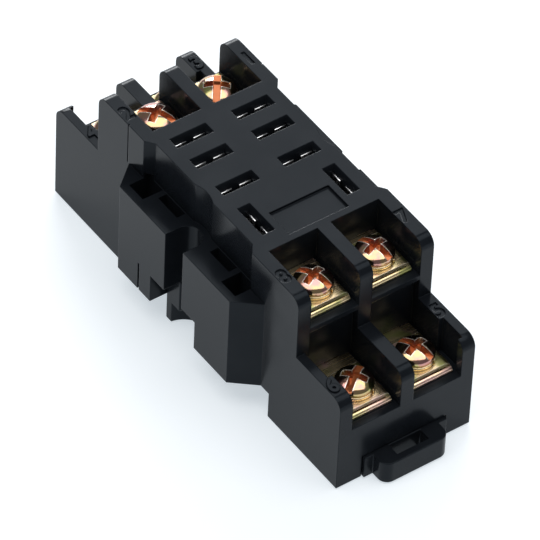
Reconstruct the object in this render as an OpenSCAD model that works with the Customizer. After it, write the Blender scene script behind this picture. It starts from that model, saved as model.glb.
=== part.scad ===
// Eight-pin relay socket with screw terminals, for a 35 mm rail or a panel.
// Millimetres. X across the socket, Y along it, Z up. The origin is at the middle
// of the rail channel, on the plane that the two terminal blocks stand on.

/* [Housing] */
// Length of the moulded body, end to end
body_l = 68; // [67:0.5:72]
// Width of the body across the terminal blocks
body_w = 22.3; // [22:0.1:24]
// Height of the relay seat above the mounting plane
body_h = 27.1; // [26.8:0.1:29]
// Height of the lower terminal walls
tier_h = 16.5; // [16.2:0.1:17]
// Length of each lower terminal step
tier_l = 10.3; // [10:0.1:11]
// Length of each terminal block
block_l = 21.2; // [20.8:0.1:21.6]
// Radius on the free top corners of the terminal walls
corner_r = 1.8; // [0.8:0.1:2.4]
// Width of the relay seat between the two blocks
seat_w = 20.2; // [20:0.1:21]
// Thickness of the plate under the relay
seat_t = 2.1; // [1.8:0.1:2.4]
// Slant of the block corners beside the seat
seat_slant = 1.4; // [0.6:0.1:1.8]
// Depth of the bare name panel on the seat
panel_d = 0.4; // [0.2:0.1:0.8]
// Width of the bare name panel
panel_w = 9.8; // [8:0.1:10.2]
// Length of the bare name panel
panel_l = 4.8; // [3:0.1:5]

/* [Terminal pockets] */
// Thickness of the outer walls
wall_t = 2.1; // [1.9:0.05:2.3]
// Thickness of the wall between the two columns
mid_wall_t = 2.15; // [1.8:0.05:2.6]
// Depth of a pocket from its wall tops to its shelf
pocket_d = 6.25; // [6:0.05:6.4]
// Thickness of the wall between an upper pocket and the contact chamber
back_t = 1.2; // [1:0.1:1.4]
// Thickness of the upper shelf at its open edge
shelf_t = 0.85; // [0.7:0.05:1.4]
// Set-back of the wall below the upper shelf
under_cut = 1.2; // [0.8:0.1:1.6]
// Depth of the rebates on the inside of the outer walls
rebate_d = 0.7; // [0.4:0.05:0.9]
// Length of the thick wall at the open end of one lower pocket
outer_pad_l = 5; // [3:0.1:6]
// Length of the thick wall at the closed end of the other lower pocket
inner_pad_l = 4.8; // [3:0.1:6]
// Length of the lip at the open end of that pocket
lip_l = 1.2; // [0.8:0.1:1.6]

/* [Side wings] */
// Width across both wings
wing_w = 29.5; // [29:0.1:31]
// Height of the wing tops
wing_h = 20.1; // [19:0.1:21]
// Length of the wings where they leave the body
wing_root_l = 32.3; // [31.6:0.1:33]
// Length of the wings at their outer faces
wing_tip_l = 26.2; // [25.8:0.1:27]
// Width of the panel screw slots
screw_slot_w = 4.2; // [4.1:0.05:4.4]
// Distance between the round ends' centres of the two screw slots
screw_slot_pitch = 25; // [24.8:0.1:25.4]
// Length of the clip wells
well_l = 3.3; // [2.6:0.1:3.5]
// Wall left outside the clip wells
well_wall = 1.25; // [0.8:0.05:1.8]
// Distance from the middle to the centre of a clip well
well_y = 11; // [10.8:0.05:11.2]
// Width of the clip slots
clip_slot_w = 1.4; // [1:0.1:1.6]
// Length of the clip slots
clip_slot_l = 4.5; // [3.5:0.1:4.8]
// Distance from the middle to the centre of a clip slot
clip_slot_y = 6.15; // [5.9:0.05:6.3]
// Depth of the clip slots
clip_slot_d = 9; // [6:0.5:10]
// Height of the gap under the middle of a wing
ear_gap_h = 9.35; // [8.6:0.05:10]
// Length of the gap under the middle of a wing
ear_gap_l = 10.6; // [10:0.1:11]
// Width of the slits that free the far wing legs
slit_w = 0.35; // [0.2:0.05:0.5]
// Distance from the middle to each slit
slit_y = 8; // [7.8:0.05:8.4]
// Width and depth of the fine groove on each side of the far block
groove_w = 0.2; // [0.15:0.05:0.3]
// Distance from the middle to that groove
groove_y = 16.4; // [16.2:0.05:16.8]

/* [Rail channel] */
// Width of the rail that the channel takes
rail_w = 35; // [34.6:0.1:35.4]
// Play along the channel beside the rail
rail_play = 1; // [0.6:0.1:1.2]
// Height of the channel's roof, where the rail seats
rail_seat_h = 4.4; // [4.2:0.1:4.8]
// Thickness of the rail's edge
rail_edge_t = 1; // [0.8:0.1:1.2]
// Reach of the hooks over the rail's edge
hook_reach = 1.3; // [1:0.1:1.5]
// Thickness of the hooks
hook_t = 1.7; // [1.3:0.1:1.9]
// Width of each fixed hook
hook_w = 4; // [3:0.1:5]

/* [Contacts] */
// Distance between the two contact columns
contact_pitch = 10.2; // [10:0.05:10.4]
// Distance between the two coil slots
coil_pitch = 14; // [13.8:0.05:14.2]
// Length of a contact slot
slot_l = 6; // [5.8:0.1:6.2]
// Width of a contact slot at the seat
slot_w = 2.1; // [2:0.05:2.3]
// Slant of the slot's lead-in on each side
lead_in = 0.38; // [0.2:0.02:0.4]
// Depth of the slot's lead-in
lead_in_d = 0.7; // [0.6:0.1:1.2]
// Place of the break contacts along the socket
break_y = 10.15; // [10.05:0.05:10.3]
// Place of the make contacts along the socket
make_y = 5.4; // [5.2:0.05:5.6]
// Place of the common contacts along the socket
common_y = -0.75; // [-1:0.05:-0.5]
// Place of the coil contacts along the socket
coil_y = -7.8; // [-8:0.05:-7.6]
// Sheet thickness of the contact clips
clip_t = 0.3; // [0.2:0.02:0.32]
// Opening between the clip leaves where they grip
clip_grip = 0.48; // [0.4:0.02:0.52]
// Slit between the two fingers of a clip
clip_slit = 1.2; // [0.8:0.1:1.6]

/* [Terminals and screws] */
// Sheet thickness of the terminal plates
plate_t = 0.8; // [0.7:0.05:0.9]
// Radius that rounds the plates over at the open end
nose_r = 0.55; // [0.3:0.05:0.6]
// Ledge of bare shelf in front of each plate
ledge = 1.3; // [1.1:0.05:1.5]
// Play at each side of a plate in its pocket
plate_play = 0.4; // [0.3:0.05:0.5]
// Distance from the end of the body to the lower screws
lower_screw_y = 5.2; // [5.1:0.05:5.4]
// Distance from the end of the body to the upper screws
upper_screw_y = 15.4; // [15.3:0.05:15.6]
// Diameter of the terminal screws
screw_d = 3.5; // [3.3:0.05:3.6]
// Length of the screws under the head
screw_l = 7; // [6.5:0.1:7.2]
// Diameter of the screw heads
head_d = 5.6; // [5.4:0.1:6]
// Height of the screw heads
head_h = 1.8; // [1.7:0.05:2.2]
// Width of the driver slot and of the cross arms
recess_w = 1.1; // [0.8:0.05:1.2]
// Depth of the driver slot
slot_d = 1.1; // [1:0.05:1.2]
// Depth of the cross recess
cross_d = 1.45; // [1.3:0.05:1.5]
// Length of the cross arms, tip to tip
cross_l = 4.2; // [3.4:0.1:4.4]
// Turn of the driver slots at the near end, from across the socket
near_turn = -65; // [-90:1:90]
// Turn of the driver slots at the far end, from across the socket
far_turn = -48; // [-90:1:90]
// Diameter of the spring washers
ring_d = 5.8; // [5.6:0.1:6.2]
// Thickness of the spring washers
ring_t = 0.5; // [0.4:0.05:0.7]
// Split of the spring washers
ring_split = 0.5; // [0.3:0.05:0.8]
// Sheet thickness of the clamp washers
washer_t = 0.6; // [0.5:0.05:0.8]
// Side of the clamp washers
washer_l = 6.9; // [6.5:0.1:7]
// Height of the washer's flat over the terminal plate
washer_rise = 0.3; // [0.25:0.05:0.4]

/* [Rail latch] */
// Width of the latch slider
latch_w = 13.7; // [13:0.1:14]
// Thickness of the latch slider
latch_t = 3.7; // [3.4:0.05:3.8]
// Width of the finger tab
tab_w = 10.9; // [10:0.1:11.4]
// Reach of the finger tab out of the body
tab_l = 3.2; // [2.8:0.1:3.6]
// Radius on the finger tab's corners
tab_r = 1.5; // [0.8:0.1:1.6]
// Length of the driver hole in the tab
tab_hole_l = 5.2; // [4.6:0.1:6]
// Width of the driver hole in the tab
tab_hole_w = 1.9; // [1.5:0.1:2]
// Reach of the slider's shoulders out of the body
shoulder = 0.5; // [0.3:0.05:0.6]
// Pull of the latch from locked to free
latch_pull = 3; // [2.5:0.1:3.2]
// Width of the tongue on each side of the slider
tongue_w = 0.9; // [0.6:0.05:1]
// Thickness of the tongues
tongue_t = 1.2; // [1:0.05:1.4]

/* [Clearances] */
// Gap around moulded pieces that slide or drop into each other
fit_gap = 0.15; // [0.1:0.01:0.2]
// Gap between faces that lie on each other
seat_gap = 0.02; // [0.02:0.01:0.05]
// Radial gap of a screw in its tapped hole
thread_gap = 0.05; // [0.03:0.01:0.08]
// Radial gap of a screw in the housing
hole_gap = 0.35; // [0.25:0.05:0.5]

/* [Base plate] */
// Thickness of the base plate
base_t = 2; // [1.6:0.1:2.2]
// Width across the mounting feet
foot_w = 24.1; // [23.6:0.1:25]
// Radius of the relief under each foot, round its screw slot
relief_r = 3.9; // [3.5:0.1:4.1]
// Height of that relief
relief_h = 3.65; // [3:0.05:4]
// Wall of the hollow under the base plate's middle
foot_wall = 1.2; // [1:0.1:1.6]
// Width of the ledge that the base plate seats on
base_ledge = 0.6; // [0.4:0.05:0.7]

/* [Hidden] */
$fn = 48;
eps = 0.01;
far = 40;

block_rim = 0.9;
chamber_room = 0.5;
riser_w = 2.2;

half_l = body_l / 2;
half_w = body_w / 2;
step_y = half_l - tier_l;
block_y = half_l - block_l;
lower_shelf = tier_h - pocket_d;
upper_shelf = body_h - pocket_d;
pocket_in = mid_wall_t / 2;
pocket_out = half_w - wall_t;
pocket_w = pocket_out - pocket_in;
pocket_x = (pocket_in + pocket_out) / 2;
pocket_back = block_y + block_rim;
lower_back = step_y - under_cut;
chamber_y = pocket_back - back_t;
chamber_x = coil_pitch / 2 + riser_w / 2 + chamber_room;
chamber_top = body_h - seat_t;
mid_rib_t = 1.8;
row_rib_t = 0.7;
row_rib_bottom = 18;
row_rib_gap = 1.6;
panel_y = -chamber_y - 0.1;
outer_pad_y = half_l - outer_pad_l;
inner_pad_y = step_y + inner_pad_l;
well_in = seat_w / 2 + 0.1;
well_out = wing_w / 2 - well_wall;
scoop_r = 5;
scoop_d = 0.5;

channel_y = (rail_w + rail_play) / 2;
hook_play = 0.1;
hook_top = rail_seat_h - rail_edge_t - hook_play;
hook_bottom = hook_top - hook_t;
base_top = rail_seat_h + base_t;
base_half_x = chamber_x + base_ledge - fit_gap;
foot_half_l = ear_gap_l / 2 - fit_gap;

slot_throat = slot_w - 2 * lead_in;
slot_throat_l = slot_l - 2 * lead_in;
clip_w = slot_l - 1;
clip_top = body_h - lead_in_d - 0.4;
clip_foot = 16.6;
clip_foot_w = 1;
clip_bend = 0.6;
clip_grip_z = 22.5;
clip_tip = slot_throat / 2 - 0.06;
clip_slit_z = 18.5;

plate_w = pocket_w - 2 * plate_play;
tail_w = 4;
slot_gap = 0.1;
hole_r = screw_d / 2 + hole_gap;
washer_w = plate_w - 0.2;
washer_bend = washer_rise + washer_t;
washer_flat = washer_w / 2 - washer_bend;
head_crown_r = head_d * 0.85;
screw_room = 0.5;
ring_gap = 0.1;

channel_h = latch_t + fit_gap;
channel_half_w = latch_w / 2 + fit_gap;
latch_rear = channel_y - hook_reach;
tongue_z = 1.3;
tongue_front = half_l - 2 - latch_pull - fit_gap;
tongue_rear = channel_y + 1;

// Terminal numbers: 1 to 4 at the far end, 5 to 8 at the near end, odd ones at the right
NUMBERS = [1, 2, 3, 4, 5, 6, 7, 8];

BLACK = [0.16, 0.17, 0.18];
GILT = [0.80, 0.66, 0.30];
TIN = [0.86, 0.87, 0.88];

function is_upper(n) = n <= 2 || n >= 7;
function side_of(n) = n % 2 == 0 ? -1 : 1;
function end_of(n) = n <= 4 ? 1 : -1;
function shelf_of(n) = is_upper(n) ? upper_shelf : lower_shelf;
function screw_y_of(n) = end_of(n) * (half_l - (is_upper(n) ? upper_screw_y : lower_screw_y));
function plate_top_of(n) = shelf_of(n) + seat_gap + plate_t;
function washer_top_of(n) = plate_top_of(n) + seat_gap + washer_rise + washer_t;
function head_seat_of(n) = washer_top_of(n) + 2 * seat_gap + ring_t;
function turn_of(n) = end_of(n) < 0 ? near_turn : far_turn;
function row_y_of(n) = n <= 2 ? break_y : n <= 4 ? make_y : n <= 6 ? common_y : coil_y;
function column_of(n) = (n <= 6 ? contact_pitch : coil_pitch) / 2;

// A box from its low corner to its high corner
module block(low, high) {
    translate(low) cube(high - low);
}

// The same shape at the left and the right, drawn for the right
module both_sides() {
    children();
    mirror([1, 0, 0]) children();
}

// The same shape at both ends, drawn for the far end
module both_ends() {
    children();
    mirror([0, 1, 0]) children();
}

// A flat outline in Y and Z, made w wide across the middle
module across(w) {
    rotate([90, 0, 90]) linear_extrude(w, center = true) children();
}

// What a rounded corner of radius r takes off a square one at the origin
module corner_scrap(r) {
    translate([-r, -r]) difference() {
        square([r + eps, r + eps]);
        circle(r);
    }
}

// Side outline of the stepped body
module body_outline() {
    difference() {
        union() {
            translate([-half_l, 0]) square([body_l, tier_h]);
            translate([-step_y, 0]) square([2 * step_y, body_h]);
        }
        for (s = [-1, 1]) scale([s, 1]) {
            translate([half_l, tier_h]) corner_scrap(corner_r);
            translate([step_y, body_h]) corner_scrap(corner_r);
        }
        translate([-channel_y, -eps]) square([2 * channel_y, rail_seat_h + eps]);
    }
}

// Plan of one wing, drawn for the right side
module wing_outline() {
    polygon([
        [seat_w / 2 - 1, -wing_root_l / 2],
        [half_w, -wing_root_l / 2],
        [wing_w / 2, -wing_tip_l / 2],
        [wing_w / 2, wing_tip_l / 2],
        [half_w, wing_root_l / 2],
        [seat_w / 2 - 1, wing_root_l / 2]
    ]);
}

// Plan of what the seat loses at one side, drawn for the right side
module waist_outline() {
    polygon([
        [seat_w / 2, -block_y + seat_slant],
        [half_w, -block_y],
        [half_w + 1, -block_y],
        [half_w + 1, block_y],
        [half_w, block_y],
        [seat_w / 2, block_y - seat_slant]
    ]);
}

// Round-ended slot of radius r, open at the outer side, about a panel screw
module screw_slot(bottom, top, r) {
    translate([screw_slot_pitch / 2, 0, bottom]) {
        cylinder(r = r, h = top - bottom);
        translate([0, -r, 0]) cube([far, 2 * r, top - bottom]);
    }
}

// Tapered mouth and straight throat of a contact slot, mouth length along X
module contact_slot() {
    intersection() {
        rotate([90, 0, 0]) linear_extrude(far, center = true)
            funnel_outline(slot_l, slot_throat_l);
        rotate([90, 0, 90]) linear_extrude(far, center = true)
            funnel_outline(slot_w, slot_throat);
    }
    translate([-slot_throat_l / 2, -slot_throat / 2, -seat_t - eps])
        cube([slot_throat_l, slot_throat, seat_t - lead_in_d + 2 * eps]);
}

// Section of the tapered mouth, from the wide top to the narrow throat
module funnel_outline(top_w, low_w) {
    polygon([
        [-low_w / 2, -lead_in_d],
        [low_w / 2, -lead_in_d],
        [top_w / 2, eps],
        [-top_w / 2, eps]
    ]);
}

// Open pockets for the screws of one end, drawn for the far end
module terminal_pockets() {
    both_sides() {
        block([pocket_in, pocket_back, upper_shelf], [pocket_out, far, far]);
        block([pocket_in, step_y - eps, lower_shelf], [pocket_out, far, far]);
        block([pocket_in, lower_back, lower_shelf], [pocket_out, step_y, upper_shelf - shelf_t]);
    }
    block([pocket_out - eps, step_y, lower_shelf], [pocket_out + rebate_d, outer_pad_y, far]);
    block([-pocket_out - rebate_d, inner_pad_y, lower_shelf],
          [-pocket_out + eps, half_l - lip_l, far]);
}

// Holes under the screws and slots for the terminal tails
module terminal_holes() {
    for (n = NUMBERS) {
        translate([side_of(n) * pocket_x, screw_y_of(n), head_seat_of(n) - screw_l - screw_room])
            cylinder(r = hole_r, h = shelf_of(n) + screw_l + screw_room + eps - head_seat_of(n));
        tail_slot(n, is_upper(n) ? pocket_back : lower_back);
    }
}

// Slot that lets a terminal's strip into the contact chamber
module tail_slot(n, mouth_y) {
    half = (is_upper(n) ? riser_w : tail_w) / 2 + slot_gap;
    x = column_of(n);
    z = shelf_of(n);
    at_terminal(n) block([x - half, chamber_y - 1, z],
                         [x + half, mouth_y + eps, z + plate_t + 2 * seat_gap + slot_gap]);
}

// Puts a shape drawn for the far right terminal at the side and end of terminal n
module at_terminal(n) {
    mirror([side_of(n) < 0 ? 1 : 0, 0, 0]) mirror([0, end_of(n) < 0 ? 1 : 0, 0]) children();
}

// Moulded housing: seat, terminal blocks and wings in one piece
module housing() {
    color(BLACK) difference() {
        union() {
            difference() {
                across(body_w) body_outline();
                both_sides() translate([0, 0, wing_h]) linear_extrude(far) waist_outline();
                terminal_pockets();
                rotate([0, 0, 180]) terminal_pockets();
            }
            both_sides() translate([0, 0, rail_seat_h])
                linear_extrude(wing_h - rail_seat_h) wing_outline();
            rail_hooks();
        }
        terminal_holes();
        contact_chamber();
        for (n = NUMBERS) place_contact(n) translate([0, 0, body_h]) contact_slot();
        translate([-panel_w / 2, panel_y, body_h - panel_d])
            cube([panel_w, panel_l, far]);
        both_sides() wing_cuts();
        latch_channel();
    }
}

// Puts a shape drawn with its length along X at the contact of terminal n
module place_contact(n) {
    translate([side_of(n) * column_of(n), row_y_of(n), 0])
        rotate([0, 0, n >= 7 ? 90 : 0]) children();
}

// Fixed hooks that hold the rail's far edge
module rail_hooks() {
    both_sides() rotate([90, 0, 90]) translate([0, 0, half_w - hook_w])
        linear_extrude(hook_w) polygon([
            [channel_y - hook_reach, hook_top],
            [channel_y + eps, hook_top],
            [channel_y + eps, hook_bottom - hook_reach],
            [channel_y - hook_reach, hook_bottom]
        ]);
}

// Space under the seat for the contact clips, with its insulating ribs left standing
module contact_chamber() {
    difference() {
        union() {
            block([-chamber_x, -chamber_y, rail_seat_h - eps],
                  [chamber_x, chamber_y, chamber_top]);
            block([-chamber_x - base_ledge, -chamber_y, rail_seat_h - eps],
                  [chamber_x + base_ledge, chamber_y, base_top + seat_gap]);
        }
        block([-mid_rib_t / 2, -far, base_top + seat_gap], [mid_rib_t / 2, far, far]);
        for (y = [(break_y + make_y) / 2, (make_y + common_y) / 2, common_y - clip_foot_w - row_rib_gap])
            translate([-far, y - row_rib_t / 2, row_rib_bottom]) cube([2 * far, row_rib_t, far]);
    }
}

// Screw slot, clip wells, clip slots, leg slits and ear gap of one wing
module wing_cuts() {
    screw_slot(-1, wing_h + eps, screw_slot_w / 2);
    translate([seat_w / 2 + scoop_r - scoop_d, 0, wing_h]) cylinder(r = scoop_r, h = far);
    block([chamber_x - eps, -ear_gap_l / 2, -1], [far, ear_gap_l / 2, ear_gap_h]);
    both_ends() {
        block([well_in, well_y - well_l / 2, -1], [well_out, well_y + well_l / 2, wing_h + 1]);
        translate([well_in, clip_slot_y - clip_slot_l / 2, wing_h - clip_slot_d])
            cube([clip_slot_w, clip_slot_l, far]);
    }
    translate([wing_w / 2 - 2, slit_y, -1]) cube([far, slit_w, ear_gap_h + 1]);
    translate([half_w - groove_w, groove_y, wing_h]) cube([far, groove_w, far]);
}

// Guide for the rail latch under the near block
module latch_channel() {
    block([-channel_half_w, -far, -1], [channel_half_w, -channel_y + 1, channel_h]);
    block([-channel_half_w - tongue_w, -tongue_front - latch_pull - fit_gap, tongue_z - fit_gap],
          [channel_half_w + tongue_w, -channel_y + 1, tongue_z + tongue_t + fit_gap]);
    block([-channel_half_w, -channel_y - eps, -1], [channel_half_w, -channel_y + 3, rail_seat_h]);
}

// Base plate that closes the chamber and carries the two mounting feet
module base_plate() {
    color(BLACK) difference() {
        union() {
            block([-base_half_x, -chamber_y + fit_gap, rail_seat_h],
                  [base_half_x, chamber_y - fit_gap, base_top]);
            block([-base_half_x, -foot_half_l, 0], [base_half_x, foot_half_l, base_top]);
            both_sides() block([chamber_x + fit_gap, -foot_half_l, 0],
                               [foot_w / 2, foot_half_l, ear_gap_h - fit_gap]);
        }
        both_sides() {
            screw_slot(-1, far, screw_slot_w / 2);
            screw_slot(-1, relief_h, relief_r);
        }
        block([-chamber_x + foot_wall, -foot_half_l + foot_wall, -1],
              [chamber_x - foot_wall, foot_half_l - foot_wall, rail_seat_h]);
    }
}

// Outline of the finger tab, seen from above
module tab_outline() {
    difference() {
        translate([-tab_w / 2, -half_l - tab_l]) square([tab_w, tab_l + 2]);
        for (s = [-1, 1]) scale([s, 1]) translate([tab_w / 2, -half_l - tab_l])
            scale([1, -1]) corner_scrap(tab_r);
        translate([-tab_hole_l / 2, -half_l - fit_gap - tab_hole_w])
            square([tab_hole_l, tab_hole_w]);
    }
}

// Sliding latch with its finger tab, guide tongues and rail nose
module rail_latch() {
    color(BLACK) union() {
        translate([0, 0, seat_gap]) linear_extrude(latch_t - seat_gap) tab_outline();
        difference() {
            block([-latch_w / 2, -half_l - shoulder, seat_gap],
                  [latch_w / 2, -channel_y - seat_gap, latch_t]);
            translate([-tab_hole_l / 2, -half_l - fit_gap - tab_hole_w, -1])
                cube([tab_hole_l, tab_hole_w, far]);
        }
        both_sides() block([latch_w / 2 - eps, -tongue_front, tongue_z],
                           [latch_w / 2 + tongue_w, -tongue_rear, tongue_z + tongue_t]);
        rotate([90, 0, 90]) linear_extrude(latch_w, center = true) polygon([
            [-channel_y - 1, hook_top],
            [-latch_rear, hook_top],
            [-latch_rear, hook_bottom],
            [-channel_y - 1, seat_gap]
        ]);
    }
}

// Terminal plate with its tapped hole and the strip that runs to its clip
module terminal(n) {
    z = shelf_of(n) + seat_gap;
    upper = is_upper(n);
    front = (upper ? step_y : half_l) - ledge;
    rear = (upper ? pocket_back : lower_back) + seat_gap;
    color(GILT) difference() {
        at_terminal(n) {
            translate([pocket_x, 0, z]) across(plate_w) plate_outline(rear, front);
            if (upper) upper_tail(n, z, rear);
            else lower_tail(n, z, rear);
        }
        translate([side_of(n) * pocket_x, screw_y_of(n), z - 1])
            cylinder(r = screw_d / 2 + thread_gap, h = plate_t + 2);
    }
}

// Side outline of a terminal plate, rounded over at the open end
module plate_outline(rear, front) {
    difference() {
        translate([rear, 0]) square([front - rear, plate_t]);
        translate([front, plate_t]) corner_scrap(nose_r);
    }
}

// Strip from a lower plate along the chamber, with the post that carries the clip
module lower_tail(n, z, rear) {
    x = column_of(n);
    row = end_of(n) * row_y_of(n);
    block([x - tail_w / 2, row - clip_foot_w, z], [x + tail_w / 2, rear + 1, z + plate_t]);
    block([x - riser_w / 2, row - plate_t / 2, z],
          [x + riser_w / 2, row + plate_t / 2, clip_foot - seat_gap]);
}

// Strip from an upper plate, down the chamber wall and under its clip
module upper_tail(n, z, rear) {
    x = column_of(n);
    row = end_of(n) * row_y_of(n);
    wall = chamber_y - fit_gap;
    top = clip_foot - seat_gap;
    half = riser_w / 2;
    block([x - half, wall - plate_t, z], [x + half, rear + 1, z + plate_t]);
    block([x - half, wall - plate_t, top - plate_t], [x + half, wall, z + plate_t]);
    block([x - half, row - clip_foot_w, top - plate_t], [x + half, wall, top]);
}

// Forked spring clip that grips one relay blade
module contact_clip(n) {
    color(TIN) place_contact(n) difference() {
        rotate([90, 0, 90]) linear_extrude(clip_w, center = true) clip_outline();
        translate([-clip_slit / 2, -far / 2, clip_slit_z]) cube([clip_slit, far, far]);
    }
}

// Section of a clip: a foot and two leaves that close to the grip and open at the tips
module clip_outline() {
    bend_z = clip_foot + clip_bend;
    grip = clip_grip / 2;
    difference() {
        polygon([
            [-clip_foot_w, clip_foot],
            [clip_foot_w, clip_foot],
            [clip_foot_w, bend_z],
            [grip + clip_t, clip_grip_z],
            [clip_tip, clip_top],
            [-clip_tip, clip_top],
            [-grip - clip_t, clip_grip_z],
            [-clip_foot_w, bend_z]
        ]);
        polygon([
            [-clip_foot_w + clip_t, clip_foot + clip_t],
            [clip_foot_w - clip_t, clip_foot + clip_t],
            [clip_foot_w - clip_t, bend_z],
            [grip, clip_grip_z],
            [clip_tip - clip_t, clip_top + eps],
            [-clip_tip + clip_t, clip_top + eps],
            [-grip, clip_grip_z],
            [-clip_foot_w + clip_t, bend_z]
        ]);
    }
}

// Arched clamp washer with its two sides turned down
module clamp_washer(n) {
    top = washer_top_of(n);
    color(GILT) translate([side_of(n) * pocket_x, screw_y_of(n), top]) difference() {
        rotate([90, 0, 0]) linear_extrude(washer_l, center = true) washer_outline();
        cylinder(r = screw_d / 2 + ring_gap, h = far, center = true);
    }
}

// Section of the washer: a flat with a quarter-round shoulder at each side
module washer_outline() {
    translate([-washer_flat, -washer_t]) square([2 * washer_flat, washer_t]);
    for (s = [-1, 1]) scale([s, 1]) translate([washer_flat, -washer_bend]) intersection() {
        difference() {
            circle(washer_bend);
            circle(washer_rise);
        }
        translate([-eps, 0]) square([washer_bend + eps, washer_bend]);
    }
}

// Split spring washer under the screw head
module spring_washer(n) {
    color(GILT) translate([side_of(n) * pocket_x, screw_y_of(n), washer_top_of(n) + seat_gap])
        difference() {
            cylinder(d = ring_d, h = ring_t);
            translate([0, 0, -1]) cylinder(r = screw_d / 2 + ring_gap, h = ring_t + 2);
            rotate([0, 0, turn_of(n)]) translate([0, -ring_split / 2, -1])
                cube([far, ring_split, ring_t + 2]);
        }
}

// Pan head screw with a driver slot across a cross recess
module terminal_screw(n) {
    color(GILT) translate([side_of(n) * pocket_x, screw_y_of(n), head_seat_of(n)])
        rotate([0, 0, turn_of(n)]) {
            translate([0, 0, -screw_l]) cylinder(d = screw_d, h = screw_l + eps);
            difference() {
                intersection() {
                    cylinder(d = head_d, h = head_h);
                    translate([0, 0, head_h - head_crown_r]) sphere(head_crown_r);
                }
                translate([-head_d, -recess_w / 2, head_h - slot_d])
                    cube([2 * head_d, recess_w, far]);
                for (a = [0, 90]) rotate([0, 0, a])
                    translate([-cross_l / 2, -recess_w / 2, head_h - cross_d])
                        cube([cross_l, recess_w, far]);
            }
        }
}

housing();
base_plate();
rail_latch();
for (n = NUMBERS) {
    terminal(n);
    contact_clip(n);
    clamp_washer(n);
    spring_washer(n);
    terminal_screw(n);
}
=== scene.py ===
"""Dresses the relay socket: finishes, terminal screws, terminal numbers, studio and camera."""

import logging
import math
from dataclasses import dataclass, field, replace
from enum import Enum

import bmesh
import bpy
from mathutils import Euler, Matrix, Vector


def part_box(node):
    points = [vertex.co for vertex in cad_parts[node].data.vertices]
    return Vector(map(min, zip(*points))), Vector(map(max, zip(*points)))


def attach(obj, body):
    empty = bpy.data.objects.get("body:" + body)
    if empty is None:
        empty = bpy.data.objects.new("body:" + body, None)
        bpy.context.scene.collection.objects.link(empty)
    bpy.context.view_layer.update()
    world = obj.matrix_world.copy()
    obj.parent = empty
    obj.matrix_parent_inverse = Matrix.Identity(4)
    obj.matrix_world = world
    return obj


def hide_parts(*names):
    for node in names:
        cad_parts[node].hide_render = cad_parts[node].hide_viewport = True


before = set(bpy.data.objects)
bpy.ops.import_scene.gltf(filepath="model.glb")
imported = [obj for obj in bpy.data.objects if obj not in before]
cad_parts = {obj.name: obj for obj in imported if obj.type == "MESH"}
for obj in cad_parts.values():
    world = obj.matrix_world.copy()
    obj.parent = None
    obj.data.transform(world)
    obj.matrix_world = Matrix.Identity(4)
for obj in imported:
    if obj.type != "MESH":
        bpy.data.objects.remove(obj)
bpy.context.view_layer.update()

LOG = logging.getLogger("relay_socket")
MM = 0.001
NUMBERS = range(1, 9)
# Share of depth in a screw's recess, which drives the painted recess shade.
RECESS = "recess_depth"
FLOAT_SOCKET = "NodeSocketFloat"
COLOUR_SOCKET = "NodeSocketColor"
# Places of the colour sockets in a Mix node, whose names repeat for each kind of data.
MIX_SHARE, MIX_FIRST, MIX_SECOND, MIX_COLOUR = 0, 6, 7, 2

Colour = tuple[float, float, float, float]
Point = tuple[float, float, float]
Span = tuple[float, float]
Tree = bpy.types.NodeTree
Node = bpy.types.Node
Outputs = bpy.types.NodeOutputs
Socket = bpy.types.NodeSocket
Value = float | Colour | Point | Socket

UNIT: Span = (0.0, 1.0)


class Effect(str, Enum):
    """Shader effects that several finishes share."""

    GRAIN = "mould_grain"
    FLECKS = "dust_flecks"
    BLOOM = "passivation_bloom"
    DRAWN = "drawn_lines"
    # A painted highlight along rounded edges.
    WEAR = "painted_edge_glint"


def put(
    tree: Tree, kind: str, inputs: dict[str | int, Value] | None = None, **settings: object
) -> Node:
    """Adds a node to a tree, with its settings and inputs.

    Args:
        tree: The material's or group's node tree.
        kind: The node's type name.
        inputs: Values or sockets to link, by the input's name or place.
        **settings: The node's own properties.

    Returns:
        The new node.
    """
    made = tree.nodes.new(kind)
    for name, value in settings.items():
        setattr(made, name, value)
    for name, value in (inputs or {}).items():
        if isinstance(value, bpy.types.NodeSocket):
            tree.links.new(value, made.inputs[name])
        else:
            made.inputs[name].default_value = value
    return made


def sums(tree: Tree, operation: str, *terms: float | Socket) -> Socket:
    """Adds a Math node.

    Args:
        tree: The tree that takes the node.
        operation: The Math node's operation.
        *terms: Its inputs in order, numbers or sockets.

    Returns:
        The result's socket.
    """
    return put(tree, "ShaderNodeMath", dict(enumerate(terms)), operation=operation).outputs[0]


def vectors(tree: Tree, operation: str, first: Socket, second: Point | Socket) -> Outputs:
    """Adds a Vector Math node.

    Args:
        tree: The tree that takes the node.
        operation: The Vector Math node's operation.
        first: Its first vector.
        second: Its second vector.

    Returns:
        The node's outputs, Vector and Value.
    """
    inputs = {0: first, 1: second}
    return put(tree, "ShaderNodeVectorMath", inputs, operation=operation).outputs


def ramp(tree: Tree, value: Socket, span: Span, to: Span = UNIT) -> Socket:
    """Maps a value smoothly from one span to another.

    Args:
        tree: The tree that takes the node.
        value: The socket to map.
        span: The two values that become the ends of the new span.
        to: The new span.

    Returns:
        The mapped value's socket.
    """
    names = ("From Min", "From Max", "To Min", "To Max")
    inputs = {"Value": value, **dict(zip(names, (*span, *to)))}
    made = put(tree, "ShaderNodeMapRange", inputs, interpolation_type="SMOOTHSTEP")
    return made.outputs["Result"]


def blend(tree: Tree, amount: Socket, first: Colour | Socket, second: Colour | Socket) -> Socket:
    """Mixes two colours.

    Args:
        tree: The tree that takes the node.
        amount: The share of the second colour.
        first: The colour at 0.
        second: The colour at 1.

    Returns:
        The mixed colour's socket.
    """
    inputs = {MIX_SHARE: amount, MIX_FIRST: first, MIX_SECOND: second}
    return put(tree, "ShaderNodeMix", inputs, data_type="RGBA").outputs[MIX_COLOUR]


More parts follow.
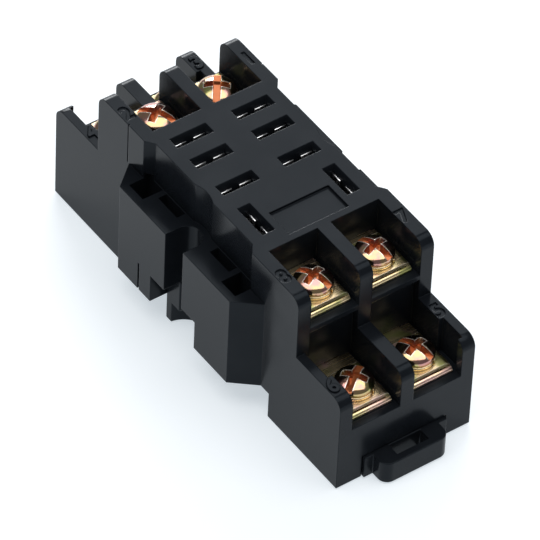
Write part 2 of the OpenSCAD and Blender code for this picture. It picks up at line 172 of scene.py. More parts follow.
def here(tree: Tree) -> Socket:
    """Gives the place of a surface point in its piece's own coordinates."""
    return put(tree, "ShaderNodeTexCoord").outputs["Object"]


def noise(tree: Tree, scale: Socket, layers: float, vector: Socket) -> Socket:
    """Adds a noise.

    Args:
        tree: The tree that takes the node.
        scale: Features to the metre.
        layers: Number of finer layers.
        vector: The coordinates that it follows.

    Returns:
        The noise value's socket.
    """
    inputs = {"Vector": vector, "Scale": scale, "Detail": layers}
    return put(tree, "ShaderNodeTexNoise", inputs).outputs["Fac"]


class EffectGroup:
    """One shader effect as a node group with named inputs and outputs."""

    def __init__(
        self, effect: Effect, inputs: dict[str, float | Colour], outputs: dict[str, str]
    ) -> None:
        """Makes the empty group.

        Args:
            effect: Which effect it holds.
            inputs: The default of each input, a number or a colour.
            outputs: The socket type of each output.
        """
        self.tree = bpy.data.node_groups.new(effect.value, "ShaderNodeTree")
        for name, value in inputs.items():
            kind = COLOUR_SOCKET if isinstance(value, tuple) else FLOAT_SOCKET
            socket = self.tree.interface.new_socket(name, in_out="INPUT", socket_type=kind)
            socket.default_value = value
        for name, kind in outputs.items():
            self.tree.interface.new_socket(name, in_out="OUTPUT", socket_type=kind)
        self.given = self.tree.nodes.new("NodeGroupInput").outputs
        self.result = self.tree.nodes.new("NodeGroupOutput").inputs

    def give(self, name: str, value: Socket) -> None:
        """Links a value to one of the group's outputs."""
        self.tree.links.new(value, self.result[name])


class EffectShelf:
    """Builds each shared effect once and hands it to the finishes."""

    SKIN_LAYERS = 3.0
    MOTTLE_LAYERS = 5.0
    MOTTLE_SPAN: Span = (0.3, 0.7)
    CLOUD_LAYERS = 2.0
    ROSE_SPAN: Span = (0.48, 0.66)
    OLIVE_SPAN: Span = (0.50, 0.68)
    OLIVE_SHIFT: Point = (0.31, 0.17, 0.43)
    LINE_LAYERS = 3.0
    LINE_STRETCH: Point = (0.08, 2.5, 1.0)
    STREAK_SPAN: Span = (0.35, 0.65)
    WEAR_RAYS = 6
    WEAR_SPAN: Span = (0.985, 0.86)

    def __init__(self) -> None:
        """Builds all the groups."""
        self.groups = {
            Effect.GRAIN: self.grain(),
            Effect.FLECKS: self.flecks(),
            Effect.BLOOM: self.bloom(),
            Effect.DRAWN: self.drawn(),
            Effect.WEAR: self.wear(),
        }

    def grain(self) -> EffectGroup:
        """Builds the fine skin of a moulding.

        Returns:
            The group, with Height for a bump and Mottle for slow changes of shade.
        """
        group = EffectGroup(
            Effect.GRAIN,
            {"Scale": 2500.0, "Mottle Scale": 120.0},
            {"Height": FLOAT_SOCKET, "Mottle": FLOAT_SOCKET},
        )
        tree = group.tree
        place = here(tree)
        group.give("Height", noise(tree, group.given["Scale"], self.SKIN_LAYERS, place))
        cloud = noise(tree, group.given["Mottle Scale"], self.MOTTLE_LAYERS, place)
        group.give("Mottle", ramp(tree, cloud, self.MOTTLE_SPAN))
        return group

    def flecks(self) -> EffectGroup:
        """Builds sparse specks of dust.

        Returns:
            The group, with a Mask that is 1 on a speck.
        """
        group = EffectGroup(
            Effect.FLECKS, {"Scale": 700.0, "Share": 0.05, "Size": 0.2}, {"Mask": FLOAT_SOCKET}
        )
        tree = group.tree
        inputs = {"Vector": here(tree), "Scale": group.given["Scale"]}
        cells = put(tree, "ShaderNodeTexVoronoi", inputs).outputs
        chance = put(tree, "ShaderNodeSeparateColor", {"Color": cells["Color"]}).outputs
        chosen = sums(tree, "LESS_THAN", chance["Red"], group.given["Share"])
        reach = sums(tree, "MULTIPLY", chance["Green"], group.given["Size"])
        near = sums(tree, "LESS_THAN", cells["Distance"], reach)
        group.give("Mask", sums(tree, "MULTIPLY", chosen, near))
        return group

    def bloom(self) -> EffectGroup:
        """Builds the rainbow clouding of a chromate passivation.

        Returns:
            The group, with the clouded Color and the Cloud itself.
        """
        group = EffectGroup(
            Effect.BLOOM,
            {
                "Scale": 420.0,
                "Blush": 0.0,
                "Gold": (0.86, 0.62, 0.24, 1.0),
                "Rose": (0.84, 0.42, 0.36, 1.0),
                "Olive": (0.52, 0.56, 0.20, 1.0),
            },
            {"Color": COLOUR_SOCKET, "Cloud": FLOAT_SOCKET},
        )
        tree, given = group.tree, group.given
        place = here(tree)
        shifted = vectors(tree, "ADD", place, self.OLIVE_SHIFT)["Vector"]
        first = noise(tree, given["Scale"], self.CLOUD_LAYERS, place)
        rose = ramp(tree, sums(tree, "ADD", first, given["Blush"]), self.ROSE_SPAN)
        second = noise(tree, given["Scale"], self.CLOUD_LAYERS, shifted)
        olive = ramp(tree, second, self.OLIVE_SPAN)
        warm = blend(tree, rose, given["Gold"], given["Rose"])
        group.give("Color", blend(tree, olive, warm, given["Olive"]))
        group.give("Cloud", sums(tree, "MAXIMUM", rose, olive))
        return group

    def drawn(self) -> EffectGroup:
        """Builds the fine lines that rolling and drawing leave on sheet metal.

        Returns:
            The group, with Height for a bump and Streak for changes of gloss.
        """
        group = EffectGroup(
            Effect.DRAWN, {"Scale": 900.0}, {"Height": FLOAT_SOCKET, "Streak": FLOAT_SOCKET}
        )
        tree = group.tree
        stretched = vectors(tree, "MULTIPLY", here(tree), self.LINE_STRETCH)["Vector"]
        lines = noise(tree, group.given["Scale"], self.LINE_LAYERS, stretched)
        group.give("Height", lines)
        group.give("Streak", ramp(tree, lines, self.STREAK_SPAN))
        return group

    def wear(self) -> EffectGroup:
        """Builds the mask of a painted highlight along the edges.

        Returns:
            The group, with a Mask that is 1 on the edges.
        """
        group = EffectGroup(Effect.WEAR, {"Radius": 0.16 * MM}, {"Mask": FLOAT_SOCKET})
        tree = group.tree
        radius = {"Radius": group.given["Radius"]}
        rounded = put(tree, "ShaderNodeBevel", radius, samples=self.WEAR_RAYS).outputs["Normal"]
        plain = put(tree, "ShaderNodeNewGeometry").outputs["Normal"]
        turned = vectors(tree, "DOT_PRODUCT", rounded, plain)["Value"]
        group.give("Mask", ramp(tree, turned, self.WEAR_SPAN))
        return group

    def place(self, tree: Tree, effect: Effect, **inputs: Value) -> Outputs:
        """Places an effect in a material.

        Args:
            tree: The material's tree.
            effect: Which effect.
            **inputs: The material's own values, with _ for a space.

        Returns:
            The placed group's outputs.
        """
        placed = put(tree, "ShaderNodeGroup", node_tree=self.groups[effect].tree)
        for name, value in inputs.items():
            placed.inputs[name.replace("_", " ")].default_value = value
        return placed.outputs


@dataclass(frozen=True)
class Finish:
    """What every finish of the socket has."""

    name: str
    roughness: Span

    def sheet(self) -> tuple[bpy.types.Material, Tree, Node]:
        """Makes an empty material.

        Returns:
            The material, its tree and its shader node.
        """
        material = bpy.data.materials.new(self.name)
        material.use_nodes = True
        tree = material.node_tree
        return material, tree, tree.nodes["Principled BSDF"]

    @staticmethod
    def bump(
        tree: Tree, shader: Node, height: Socket, depth: float, normal: Socket | None = None
    ) -> None:
        """Gives the shader a bump.

        Args:
            tree: The material's tree.
            shader: Its shader node.
            height: The bump's height, from 0 to 1.
            depth: The depth that a height of 1 stands for, in metres.
            normal: The surface's direction, where it isn't the mesh's own.
        """
        inputs = {"Strength": 1.0, "Distance": depth, "Height": height}
        made = put(tree, "ShaderNodeBump", inputs)
        if normal is not None:
            tree.links.new(normal, made.inputs["Normal"])
        tree.links.new(made.outputs["Normal"], shader.inputs["Normal"])


@dataclass(frozen=True)
class BlackMoulding(Finish):
    """Charcoal-black moulded plastic with a fine skin and a little dust."""

    dark: Colour = (0.0076, 0.0092, 0.0118, 1.0)
    pale: Colour = (0.0102, 0.0121, 0.0150, 1.0)
    dust: Colour = (0.16, 0.16, 0.165, 1.0)
    ior: float = 1.5
    sheen: float = 0.112
    sheen_tint: Colour = (0.75, 0.88, 1.0, 1.0)
    edge_radius: float = 0.16 * MM
    edge_rays: int = 6
    skin_scale: float = 3200.0
    skin_depth: float = 0.005 * MM
    mottle_scale: float = 160.0
    fleck_scale: float = 650.0
    fleck_share: float = 0.035
    fleck_size: float = 0.09

    def make(self, effects: EffectShelf) -> bpy.types.Material:
        """Makes the material.

        Args:
            effects: The shared effects.

        Returns:
            The material.
        """
        material, tree, shader = self.sheet()
        inputs = shader.inputs
        grain = effects.place(
            tree, Effect.GRAIN, Scale=self.skin_scale, Mottle_Scale=self.mottle_scale
        )
        flecks = effects.place(
            tree,
            Effect.FLECKS,
            Scale=self.fleck_scale,
            Share=self.fleck_share,
            Size=self.fleck_size,
        )
        body = blend(tree, grain["Mottle"], self.dark, self.pale)
        tree.links.new(blend(tree, flecks["Mask"], body, self.dust), inputs["Base Color"])
        tree.links.new(ramp(tree, grain["Mottle"], UNIT, self.roughness), inputs["Roughness"])
        inputs["IOR"].default_value = self.ior
        inputs["Specular IOR Level"].default_value = self.sheen
        inputs["Specular Tint"].default_value = self.sheen_tint
        radius = {"Radius": self.edge_radius}
        rounded = put(tree, "ShaderNodeBevel", radius, samples=self.edge_rays).outputs["Normal"]
        self.bump(tree, shader, grain["Height"], self.skin_depth, rounded)
        return material


@dataclass(frozen=True)
class GiltPassivation(Finish):
    """Zinc plate with a yellow chromate, gold with rose and olive clouds; painted shade in the
    recess, painted highlights on edges.
    """

    gold: Colour = (0.56, 0.395, 0.205, 1.0)
    rose: Colour = (0.54, 0.275, 0.25, 1.0)
    olive: Colour = (0.46, 0.46, 0.17, 1.0)
    blush: float = 0.0
    cloud_scale: float = 420.0
    cloud_gloss: float = 0.5
    # deep is a painted shade: the dark orange-red of light bouncing inside the recess.
    deep: Colour = (0.46, 0.138, 0.048, 1.0)
    deep_metal: float = 0.62
    # Pale colour painted on rounded edges as a highlight.
    bare: Colour = (0.92, 0.88, 0.80, 1.0)
    lip_radius: float = 0.16 * MM
    lip_depth: float = 0.7
    line_scale: float = 800.0
    line_depth: float = 0.001 * MM
    line_gloss: float = 0.5

    def make(self, effects: EffectShelf) -> bpy.types.Material:
        """Makes the material.

        Args:
            effects: The shared effects.

        Returns:
            The material.
        """
        material, tree, shader = self.sheet()
        inputs = shader.inputs
        bloom = effects.place(
            tree,
            Effect.BLOOM,
            Scale=self.cloud_scale,
            Blush=self.blush,
            Gold=self.gold,
            Rose=self.rose,
            Olive=self.olive,
        )
        drawn = effects.place(tree, Effect.DRAWN, Scale=self.line_scale)
        # Painted edge highlight, which fades out deep in the recess.
        glint_edges = effects.place(tree, Effect.WEAR, Radius=self.lip_radius)
        sunk = put(tree, "ShaderNodeAttribute", attribute_name=RECESS).outputs["Fac"]
        shallow = ramp(tree, sunk, (0.0, self.lip_depth), (1.0, 0.0))
        glint = sums(tree, "MULTIPLY", glint_edges["Mask"], shallow)
        # Painted recess shade, mixed in by the recess depth.
        colour_with_recess_shade = blend(tree, sunk, bloom["Color"], self.deep)
        tree.links.new(blend(tree, glint, colour_with_recess_shade, self.bare), inputs["Base Color"])
        clouded = sums(tree, "MULTIPLY", bloom["Cloud"], self.cloud_gloss)
        gloss = sums(tree, "MULTIPLY_ADD", drawn["Streak"], self.line_gloss, clouded)
        tree.links.new(ramp(tree, gloss, UNIT, self.roughness), inputs["Roughness"])
        # Painted recess shade and painted edge highlight both lower the metallic share.
        dull = sums(tree, "MAXIMUM", sunk, glint)
        tree.links.new(ramp(tree, dull, UNIT, (1.0, self.deep_metal)), inputs["Metallic"])
        self.bump(tree, shader, drawn["Height"], self.line_depth)
        return material


@dataclass(frozen=True)
class TinPlate(Finish):
    """Bright tin on bronze strip."""

    bright: Colour = (0.93, 0.93, 0.94, 1.0)
    dull: Colour = (0.72, 0.72, 0.72, 1.0)
    line_scale: float = 1200.0
    line_depth: float = 0.004 * MM

    def make(self, effects: EffectShelf) -> bpy.types.Material:
        """Makes the material.

        Args:
            effects: The shared effects.

        Returns:
            The material.
        """
        material, tree, shader = self.sheet()
        inputs = shader.inputs
        drawn = effects.place(tree, Effect.DRAWN, Scale=self.line_scale)
        tree.links.new(blend(tree, drawn["Streak"], self.bright, self.dull), inputs["Base Color"])
        tree.links.new(ramp(tree, drawn["Streak"], UNIT, self.roughness), inputs["Roughness"])
        inputs["Metallic"].default_value = 1.0
        self.bump(tree, shader, drawn["Height"], self.line_depth)
        return material


@dataclass(frozen=True)
class FloorPaper(Finish):
    """White backdrop paper."""

    white: Colour = (0.60, 0.60, 0.60, 1.0)
    shade: Colour = (0.58, 0.58, 0.58, 1.0)
    mottle_scale: float = 12.0
    sheen: float = 0.1
    glow_colour: Colour = (0.86, 0.94, 1.0, 1.0)
    glow: float = 0.60

    def make(self, effects: EffectShelf) -> bpy.types.Material:
        """Makes the material.

        Args:
            effects: The shared effects.

        Returns:
            The material.
        """
        material, tree, shader = self.sheet()
        inputs = shader.inputs
        grain = effects.place(tree, Effect.GRAIN, Mottle_Scale=self.mottle_scale)
        tree.links.new(blend(tree, grain["Mottle"], self.white, self.shade), inputs["Base Color"])
        inputs["Roughness"].default_value = self.roughness[0]
        inputs["Specular IOR Level"].default_value = self.sheen
        inputs["Emission Color"].default_value = self.glow_colour
        inputs["Emission Strength"].default_value = self.glow
        return material


@dataclass
class FinishSet:
    """The finishes as materials, made once."""

    effects: EffectShelf
    plastic: bpy.types.Material = field(init=False)
    screw: bpy.types.Material = field(init=False)
    washer: bpy.types.Material = field(init=False)
    strip: bpy.types.Material = field(init=False)
    tin: bpy.types.Material = field(init=False)
    paper: bpy.types.Material = field(init=False)

    def __post_init__(self) -> None:
        """Makes every material."""
        screw = GiltPassivation("gilt_screw", (0.10, 0.20), blush=0.07, lip_radius=0.30 * MM)
        washer = GiltPassivation(
            "gilt_washer",
            (0.24, 0.34),
            gold=(0.90, 0.71, 0.42, 1.0),
            rose=(0.93, 0.62, 0.53, 1.0),
            cloud_scale=260.0,
        )
        strip = replace(washer, name="gilt_strip", cloud_scale=220.0)
        self.plastic = BlackMoulding("black_moulding", (0.16, 0.23)).make(self.effects)
        self.screw = screw.make(self.effects)
        self.washer = washer.make(self.effects)
        self.strip = strip.make(self.effects)
        self.tin = TinPlate("bright_tin", (0.16, 0.30)).make(self.effects)
        self.paper = FloorPaper("floor_paper", (0.85, 0.85)).make(self.effects)


def dress(piece: bpy.types.Object, material: bpy.types.Material) -> None:
    """Gives a piece its only material."""
    piece.data.materials.clear()
    piece.data.materials.append(material)


@dataclass(frozen=True)
class Softening:
    """A small rounding of a CAD piece's edges. Lengths in metres, angles in degrees."""

    width: float
    faces: int
    edge_angle: float = 35.0
    flat_angle: float = 1.0
    weld: float = 0.002 * MM
    face_weight: int = 80

    def apply(self, piece: bpy.types.Object) -> None:
        """Rounds the edges with modifiers.

        Args:
            piece: The node's object.
        """
        weld = piece.modifiers.new("weld", "WELD")
        weld.merge_threshold = self.weld
        planar = piece.modifiers.new("planar", "DECIMATE")
        planar.decimate_type = "DISSOLVE"
        planar.angle_limit = math.radians(self.flat_angle)
        edge = piece.modifiers.new("edge", "BEVEL")
        edge.width = self.width
        edge.segments = self.faces
        edge.limit_method = "ANGLE"
        edge.angle_limit = math.radians(self.edge_angle)
        edge.use_clamp_overlap = True
        edge.miter_outer = "MITER_SHARP"
        shade = piece.modifiers.new("shade", "WEIGHTED_NORMAL")
        shade.keep_sharp = False
        shade.weight = self.face_weight


def frozen_copy(piece: bpy.types.Object) -> bpy.types.Mesh:
    """Takes the mesh that a piece's modifiers give.

    Args:
        piece: The object with its modifiers.

    Returns:
        A new mesh.
    """
    graph = bpy.context.evaluated_depsgraph_get()
    return bpy.data.meshes.new_from_object(piece.evaluated_get(graph))


def linked(name: str, data: bpy.types.ID) -> bpy.types.Object:
    """Puts a mesh, curve, light or camera into the scene as an object.

    Args:
        name: The object's name.
        data: What the object shows.

    Returns:
        The object.
    """
    piece = bpy.data.objects.new(name, data)
    bpy.context.scene.collection.objects.link(piece)
    return piece


def from_faces(name: str, points: list[Point], faces: list[tuple[int, ...]]) -> bpy.types.Mesh:
    """Makes a mesh with its faces turned outwards.

    Args:
        name: The mesh's name.
        points: Its points.
        faces: Its faces, as places in the list of points.

    Returns:
        The mesh.
    """
    mesh = bpy.data.meshes.new(name)
    mesh.from_pydata(points, [], faces)
    work = bmesh.new()
    work.from_mesh(mesh)
    bmesh.ops.recalc_face_normals(work, faces=work.faces)
    work.to_mesh(mesh)
    work.free()
    return mesh


def cut(piece: bpy.types.Object, tool: bpy.types.Object) -> None:
    """Takes one object's shape out of another with a modifier."""
    made = piece.modifiers.new(tool.name, "BOOLEAN")
    made.operation = "DIFFERENCE"
    made.solver = "EXACT"
    made.object = tool


@dataclass
class TerminalNumbers:
    """Plain terminal numbers, sunk into the tops of the terminal walls.

    Lengths are in metres, and the stroke's gain in parts of the font's size. A place is X and Y
    in mm, and whether the number is at the height of the relay seat.
    """

    height: float = 2.7 * MM
    narrowing: float = 0.9
    depth: float = 0.22 * MM
    seat_z: float = 27.1 * MM
    tier_z: float = 16.5 * MM
    stroke: float = 0.04
    curve_steps: int = 4
    weld: float = 0.0001 * MM
    places: dict[int, tuple[float, float, bool]] = field(
        default_factory=lambda: {
            1: (10.1, 18.5, True),
            2: (-10.05, 18.65, True),
            3: (10.2, 30.6, False),
            4: (-9.95, 26.9, False),
            5: (9.95, -26.9, False),
            6: (-10.2, -30.6, False),
            7: (9.95, -18.1, True),
            8: (-10.1, -18.55, True),
        }
    )

    def digit(self, number: int) -> bpy.types.Mesh:
        """Makes the cutter of one digit.

        Args:
            number: The terminal's number.

        Returns:
            A closed mesh, in place.
        """
        curve = bpy.data.curves.new(f"digit_{number}", "FONT")
        curve.body = str(number)
        curve.extrude = 1.0  # Any thickness serves, because the scale below sets the depth.
        curve.offset = self.stroke
        curve.resolution_u = self.curve_steps
        text = linked(f"digit_{number}", curve)
        mesh = frozen_copy(text)
        bpy.data.objects.remove(text)
        low = Vector(min(v.co[i] for v in mesh.vertices) for i in range(3))
        high = Vector(max(v.co[i] for v in mesh.vertices) for i in range(3))
        x, y, on_seat = self.places[number]
        top = self.seat_z if on_seat else self.tier_z
        size = high - low
        tall = self.height / size.y
        deep = 2 * self.depth / size.z
        scale = Matrix.Diagonal((self.narrowing * tall, tall, deep, 1.0))
        centre = Matrix.Translation(-(low + high) / 2)
        mesh.transform(Matrix.Translation((x * MM, y * MM, top)) @ scale @ centre)
        return mesh

    def cutter(self) -> bpy.types.Object:
        """Joins all the digits into one hidden cutter.

        Returns:
            The cutter's object.
        """
        work = bmesh.new()
        for number in NUMBERS:
            mesh = self.digit(number)
            work.from_mesh(mesh)
            bpy.data.meshes.remove(mesh)
        bmesh.ops.remove_doubles(work, verts=work.verts, dist=self.weld)
        bmesh.ops.recalc_face_normals(work, faces=work.faces)
        joined = bpy.data.meshes.new("number_cutter")
        work.to_mesh(joined)
        work.free()
        tool = linked("number_cutter", joined)
        tool.hide_render = True
        tool.hide_viewport = True
        return tool


@dataclass
class MouldedBody:
    """The housing and the base plate."""

    edge: Softening = Softening(0.14 * MM, 2)
    numbers: TerminalNumbers = field(default_factory=TerminalNumbers)

    def build(self, finishes: FinishSet) -> None:
        """Softens, numbers and dresses the mouldings.

        Args:
            finishes: The socket's materials.
        """
        for name in ("housing", "base_plate"):
            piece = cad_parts[name]
            self.edge.apply(piece)
            dress(piece, finishes.plastic)
            LOG.info("%s dressed", name)
        tool = self.numbers.cutter()
        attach(tool, "base")
        cut(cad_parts["housing"], tool)
        LOG.info("terminal numbers sunk into the housing")


@dataclass
class RailLatch:
    """The sliding rail latch."""

    edge: Softening = Softening(0.14 * MM, 2)

    def build(self, finishes: FinishSet) -> None:
        """Softens and dresses the slider.

        Args:
            finishes: The socket's materials.
        """
        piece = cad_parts["rail_latch"]
        self.edge.apply(piece)
        dress(piece, finishes.plastic)
        LOG.info("rail_latch dressed")


@dataclass
class ContactSet:
    """Terminal plates with their strips, and the clips that grip the relay's blades."""

    plate_edge: Softening = Softening(0.08 * MM, 2)
    clip_edge: Softening = Softening(0.04 * MM, 1)

    def build(self, finishes: FinishSet) -> None:
        """Softens and dresses all plates and clips.

        Args:
            finishes: The socket's materials.
        """
        for number in NUMBERS:
            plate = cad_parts[f"terminal_{number}"]
            self.plate_edge.apply(plate)
            dress(plate, finishes.strip)
            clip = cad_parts[f"contact_clip_{number}"]
            self.clip_edge.apply(clip)
            dress(clip, finishes.tin)
            LOG.info("%s and %s dressed", plate.name, clip.name)


@dataclass
class WasherStack:
    """The clamp washer and the spring washer of each terminal."""

    clamp_edge: Softening = Softening(0.26 * MM, 4)
    ring_edge: Softening = Softening(0.08 * MM, 2)

    def build(self, finishes: FinishSet) -> None:
        """Softens and dresses all washers.

        Args:
            finishes: The socket's materials.
        """
        for number in NUMBERS:
            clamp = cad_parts[f"clamp_washer_{number}"]
            self.clamp_edge.apply(clamp)
            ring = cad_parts[f"spring_washer_{number}"]
            self.ring_edge.apply(ring)
            for piece in (clamp, ring):
                dress(piece, finishes.washer)
                LOG.info("%s dressed", piece.name)


@dataclass
class TerminalScrews:
    """Pan head screws with a rolled thread and a driver slot across a cross recess.

    Sizes are in mm and angles in degrees, with Z from the head's seat. Each ring under the head
    is a height and a distance in from the rim, and each ring of the neck a height and a radius.
    """

    head_r: float = 2.8
    head_h: float = 1.8
    crown_r: float = 4.3
    crown_steps: int = 10
    shoulder_r: float = 2.3
    shoulder_steps: int = 8
    rim_z: float = 0.35
    under_head: tuple[Span, ...] = ((0.0, 0.34), (0.05, 0.12), (0.16, 0.02), (0.28, 0.0))
    neck: tuple[Span, ...] = ((-0.12, 1.5), (0.0, 1.58))
    thread_r: float = 1.74
    root_r: float = 1.42
    shank_l: float = 7.0
    pitch: float = 0.6
    flank_gain: float = 1.3
    root_flat: float = 0.12
    run_out: float = 0.3
    tip_l: float = 0.5
    tip_taper: float = 0.25
    steps_round: int = 64
    steps_pitch: int = 8
    slot_reach: float = 2.6
    slot_w: float = 1.1
    slot_floor_w: float = 1.0
    slot_d: float = 1.1
    cross_l: float = 4.2
    cross_floor_l: float = 2.6
    cross_w: float = 1.1
    cross_floor_w: float = 0.9
    cross_d: float = 1.45
    punch_rise: float = 0.6
    weld: float = 1e-5
    lip: float = 0.18
    lip_faces: int = 3
    lip_profile: float = 0.5
    lip_angle: float = 38.0
    lip_above_floor: float = 0.05
    recess_slack: float = 0.02
    sunk_from: float = 0.16
    sunk_over: float = 0.25
    smooth_angle: float = 32.0
    turns: tuple[float, ...] = (54.0, 123.0, 80.0, 15.0, 108.0, 35.0, 104.0, 111.0)

    def crown_z(self, r: float) -> float:
        """Gives the height of the crown at a distance from the axis."""
        return self.head_h - self.crown_r + math.sqrt(self.crown_r**2 - r**2)

    def thread_at(self, turn: float, z: float) -> float:
        """Gives the radius of the threaded shank.

        Args:
            turn: Angle about the axis, in turns.
            z: Height below the head's seat, negative.

        Returns:
            The radius there.
        """
        phase = (z / self.pitch - turn) % 1.0
        crest = 1.0 - abs(2.0 * phase - 1.0)
        share = min(max(self.flank_gain * crest - self.root_flat, 0.0), 1.0)
        fade = max(min((-z - self.run_out) / self.pitch, 1.0), 0.0)
        tip = max(min((z + self.shank_l) / self.tip_l, 1.0), 0.0)
        reach = self.thread_r - self.root_r
        return self.root_r + reach * share * fade * tip - self.tip_taper * (1.0 - tip)

    def rows(self) -> list[tuple[float, float | None]]:
        """Lists the screw's rings from the tip to the crown.

        Returns:
            Height and radius of each ring, with no radius where the thread gives it.
        """
        count = round(self.shank_l / self.pitch * self.steps_pitch)
        found: list[tuple[float, float | None]] = [
            (-self.shank_l + i * self.shank_l / count, None) for i in range(count - len(self.neck))
        ]
        found += self.neck
        found += [(z, self.head_r - inset) for z, inset in self.under_head]
        found.append((self.rim_z, self.head_r))
        top = self.crown_z(self.shoulder_r)
        slope = math.tan(math.asin(self.shoulder_r / self.crown_r))
        bend_r, bend_z = self.head_r, top - (self.head_r - self.shoulder_r) * slope
        for i in range(1, self.shoulder_steps + 1):
            t = i / self.shoulder_steps
            a, b, c = (1 - t) ** 2, 2 * t * (1 - t), t * t
            r = a * self.head_r + b * bend_r + c * self.shoulder_r
            found.append((a * self.rim_z + b * bend_z + c * top, r))
        for i in range(1, self.crown_steps):
            r = self.shoulder_r * (1.0 - i / self.crown_steps)
            found.append((self.crown_z(r), r))
        return found

    def blank(self) -> bpy.types.Mesh:
        """Makes the screw before its recess is struck.

        Returns:
            A closed mesh in mm, about its axis, with the head's seat at 0.
        """
        points: list[Point] = []
        faces: list[tuple[int, ...]] = []
        rows, count = self.rows(), self.steps_round
        for z, r in rows:
            for k in range(count):
                turn = k / count
                reach = self.thread_at(turn, z) if r is None else r
                angle = 2.0 * math.pi * turn
                points.append((reach * math.cos(angle), reach * math.sin(angle), z))
        for row in range(len(rows) - 1):
            for k in range(count):
                a, b = row * count + k, row * count + (k + 1) % count
                faces.append((a, b, b + count, a + count))
        bottom, top = len(points), len(points) + 1
        points += [(0.0, 0.0, -self.shank_l), (0.0, 0.0, self.head_h)]
        last = (len(rows) - 1) * count
        for k in range(count):
            follows = (k + 1) % count
            faces.append((bottom, follows, k))
            faces.append((top, last + k, last + follows))
        return from_faces("screw_blank", points, faces)

    def punch(self, name: str, top: Span, floor: Span, depth: float) -> bpy.types.Mesh:
        """Makes a tapered punch for the recess.

        Args:
            name: The mesh's name.
            top: Length and width at the top of the crown.
            floor: Length and width at the floor.
            depth: Depth of the floor under the top of the crown.

        Returns:
            A closed mesh in mm.
        """
        grow = (depth + self.punch_rise) / depth
        wide = tuple(f + (t - f) * grow for t, f in zip(top, floor))
        corners = ((-1, -1), (1, -1), (1, 1), (-1, 1))
        low, high = self.head_h - depth, self.head_h + self.punch_rise
        points = [(sx * floor[0] / 2, sy * floor[1] / 2, low) for sx, sy in corners]
        points += [(sx * wide[0] / 2, sy * wide[1] / 2, high) for sx, sy in corners]
        faces = [(0, 1, 2, 3), (4, 5, 6, 7)]
        faces += [(i, (i + 1) % 4, (i + 1) % 4 + 4, i + 4) for i in range(4)]
        return from_faces(name, points, faces)

    def struck(self) -> bpy.types.Mesh:
        """Strikes the recess and rounds its lips.

        Returns:
            The finished screw's mesh in mm.
        """
        piece = linked("screw_blank", self.blank())
        long = self.slot_reach * self.head_r
        slot = self.punch("slot", (long, self.slot_w), (long, self.slot_floor_w), self.slot_d)
        top, floor = (self.cross_l, self.cross_w), (self.cross_floor_l, self.cross_floor_w)
        arm = self.punch("arm", top, floor, self.cross_d)
        cross_arm = arm.copy()
        cross_arm.transform(Matrix.Rotation(math.radians(90.0), 4, "Z"))
        tools = [linked(f"punch_{i}", mesh) for i, mesh in enumerate((slot, arm, cross_arm))]
        for tool in tools:
            cut(piece, tool)
        mesh = frozen_copy(piece)
        for spent in (*tools, piece):
            bpy.data.objects.remove(spent)
        return self.lipped(mesh)

    def sunk_share(self, place: Vector) -> float:
        """Tells how deep in the recess a point of the head lies.

        Args:
            place: The point, in mm.

        Returns:
            0 on the crown and 1 well inside the recess.
        """
        on_crown = place.xy.length < self.shoulder_r
        r = min(place.xy.length, self.shoulder_r)
        inside = on_crown or abs(place.y) < self.slot_w / 2 + self.recess_slack
        floor = 0.0 if on_crown else self.head_h - self.slot_d - self.recess_slack
        depth = self.crown_z(r) - place.z if inside and place.z > floor else 0.0
        return min(max((depth - self.sunk_from) / self.sunk_over, 0.0), 1.0)

    def lipped(self, mesh: bpy.types.Mesh) -> bpy.types.Mesh:
        """Rounds the edges that the punch left and marks the depth in the recess.

        Args:
            mesh: The struck screw.

        Returns:
            The mesh with rounded edges and smooth shading.
        """
        work = bmesh.new()
        work.from_mesh(mesh)
        bmesh.ops.remove_doubles(work, verts=work.verts, dist=self.weld)
        sunk = work.verts.layers.float.new(RECESS)
        lowest = self.head_h - self.cross_d + self.lip_above_floor
        sharp = [
            edge
            for edge in work.edges
            if len(edge.link_faces) == 2
            and edge.calc_face_angle() > math.radians(self.lip_angle)
            and min(vert.co.z for vert in edge.verts) > lowest
        ]
        bmesh.ops.bevel(
            work,
            geom=sharp,
            offset=self.lip,
            segments=self.lip_faces,
            profile=self.lip_profile,
            affect="EDGES",
            clamp_overlap=True,
        )
        # This depth share drives the painted recess shade of the screw's material.
        for vert in work.verts:
            vert[sunk] = self.sunk_share(vert.co)
        work.to_mesh(mesh)
        work.free()
        mesh.shade_smooth()
        mesh.set_sharp_from_angle(angle=math.radians(self.smooth_angle))
        return mesh

    def build(self, finishes: FinishSet) -> None:
        """Sets a screw at each terminal, in place of its plain solid.

        Args:
            finishes: The socket's materials.
        """
        pattern = self.struck()
        for number in NUMBERS:
            node = f"terminal_screw_{number}"
            low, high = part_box(node)
            axis = (low + high) / 2
            turn = Matrix.Rotation(math.radians(self.turns[number - 1]), 4, "Z")
            seat = Matrix.Translation((axis.x, axis.y, high.z - self.head_h * MM))
            mesh = pattern.copy()
            mesh.transform(seat @ turn @ Matrix.Scale(MM, 4))
            piece = linked(f"struck_screw_{number}", mesh)
            dress(piece, finishes.screw)
            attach(piece, f"screw_{number}")
            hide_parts(node)
            LOG.info("%s stands for %s", piece.name, node)
        bpy.data.meshes.remove(pattern)


@dataclass(frozen=True)
class Softbox:
    """One soft studio light, white. Lengths in metres, power in watts."""

    name: str
    place: Point
    aim: Point
    size: Span
    power: float

    def light(self) -> None:
        """Hangs the light and turns it to its aim."""
        lamp = bpy.data.lights.new(self.name, "AREA")
        lamp.shape = "RECTANGLE"
        lamp.size, lamp.size_y = self.size
        lamp.energy = self.power
        holder = linked(self.name, lamp)
        holder.location = self.place
        towards = Vector(self.aim) - Vector(self.place)
        holder.rotation_euler = towards.to_track_quat("-Z", "Y").to_euler()


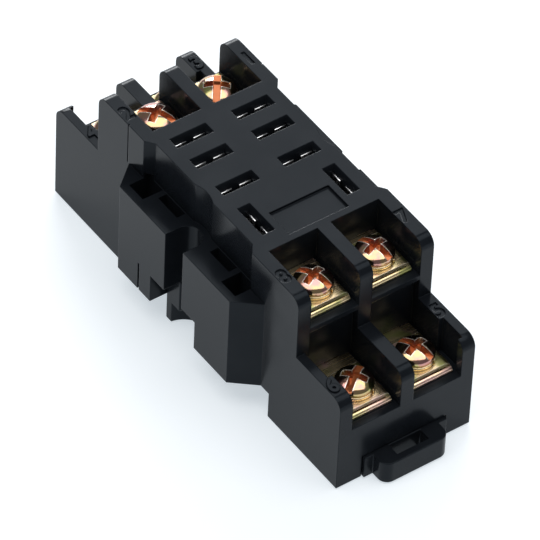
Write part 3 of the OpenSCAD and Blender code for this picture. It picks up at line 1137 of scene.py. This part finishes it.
@dataclass
class Studio:
    """Floor, lights, surroundings and camera.

    Lengths are in metres, lens and sensor in mm, and the camera's turn in degrees.
    """

    floor_half: float = 3.0
    floor_drop: float = 0.2 * MM
    room: Colour = (0.93, 0.965, 1.0, 1.0)
    room_strength: float = 0.20
    camera_place: Point = (-0.363812, -0.483049, 0.620353)
    camera_turn: Point = (44.555852, -1.955397, -35.127704)
    lens: float = 417.3209
    sensor: float = 36.0
    sight: Span = (0.01, 20.0)
    softboxes: tuple[Softbox, ...] = (
        Softbox("over_box", (-0.035, -0.075, 0.80), (0.0, 0.0, 0.0), (1.20, 0.60), 5.4),
        Softbox("back_box", (0.45, 0.60, 0.75), (0.0, 0.0, 0.01), (0.50, 0.50), 1.65),
        Softbox("rear_box", (0.50, 0.75, 0.28), (0.0, 0.0, 0.012), (0.60, 0.34), 6.5),
    )

    def floor(self, finishes: FinishSet) -> None:
        """Lays the floor just under the socket.

        Args:
            finishes: The materials, of which the floor takes the paper.
        """
        h, z = self.floor_half, -self.floor_drop
        corners = [(-h, -h, z), (h, -h, z), (h, h, z), (-h, h, z)]
        sheet = linked("studio_floor", from_faces("studio_floor", corners, [(0, 1, 2, 3)]))
        dress(sheet, finishes.paper)

    def surroundings(self) -> None:
        """Lights the room evenly."""
        world = bpy.data.worlds.new("studio_room")
        world.use_nodes = True
        sky = world.node_tree.nodes["Background"]
        sky.inputs["Color"].default_value = self.room
        sky.inputs["Strength"].default_value = self.room_strength
        bpy.context.scene.world = world
        bpy.context.scene.view_settings.view_transform = "Standard"

    def camera(self) -> None:
        """Sets the camera at the photograph's place."""
        lens = bpy.data.cameras.new("studio_camera")
        lens.lens = self.lens
        lens.sensor_width = self.sensor
        lens.sensor_fit = "HORIZONTAL"
        lens.clip_start, lens.clip_end = self.sight
        holder = linked("studio_camera", lens)
        holder.location = self.camera_place
        holder.rotation_euler = Euler([math.radians(a) for a in self.camera_turn], "XYZ")
        bpy.context.scene.camera = holder

    def build(self, finishes: FinishSet) -> None:
        """Sets up the whole studio.

        Args:
            finishes: The materials, of which the floor takes the paper.
        """
        self.floor(finishes)
        self.surroundings()
        for box in self.softboxes:
            box.light()
        self.camera()
        LOG.info("studio and camera set")


def main() -> None:
    """Builds and dresses the sub-assemblies in order."""
    logging.basicConfig(level=logging.INFO, format="%(message)s")
    finishes = FinishSet(EffectShelf())
    assemblies = (
        MouldedBody(),
        RailLatch(),
        ContactSet(),
        WasherStack(),
        TerminalScrews(),
        Studio(),
    )
    for assembly in assemblies:
        assembly.build(finishes)
    bpy.context.view_layer.update()


if __name__ == "__main__":
    main()
